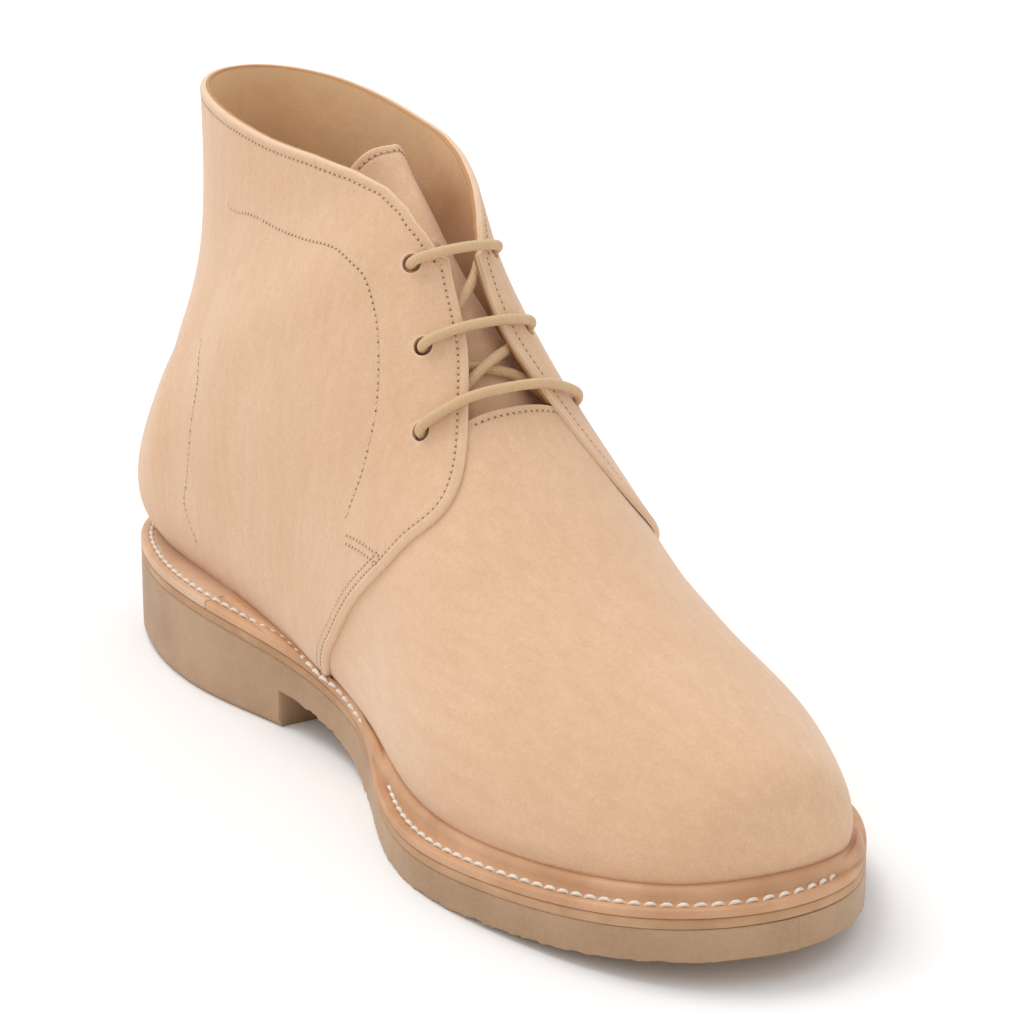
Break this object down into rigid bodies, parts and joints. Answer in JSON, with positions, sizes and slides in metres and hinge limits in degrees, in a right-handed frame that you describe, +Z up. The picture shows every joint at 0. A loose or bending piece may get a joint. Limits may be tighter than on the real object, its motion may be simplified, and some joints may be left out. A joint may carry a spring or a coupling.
{
  "type": "chukka boot",
  "caption": "Suede chukka boot for the left foot with stitched leather welt, gum rubber sole with block heel, and a thin lace through punched holes.",
  "frame": {"origin": "middle of the sole's outline, at the floor", "axes": "+X from heel to toe, +Y to the outer side of the left foot, +Z up"},
  "size_m": [0.305, 0.1066, 0.156],
  "materials": {
    "rubber": "smooth, slightly cloudy gum rubber",
    "edge_leather": "cut and waxed leather edge",
    "welt_leather": "natural smooth leather",
    "suede": "fine nap suede",
    "lining": "smooth undyed lining leather",
    "cord": "thin round waxed cord"
  },
  "bodies": {
    "root": {"outsole": "rubber", "midsole": "edge_leather", "welt_front": "welt_leather", "welt_rear": "welt_leather", "upper": "suede", "tongue": "suede", "insole": "lining", "lace": "cord"}
  },
  "joints": []
}
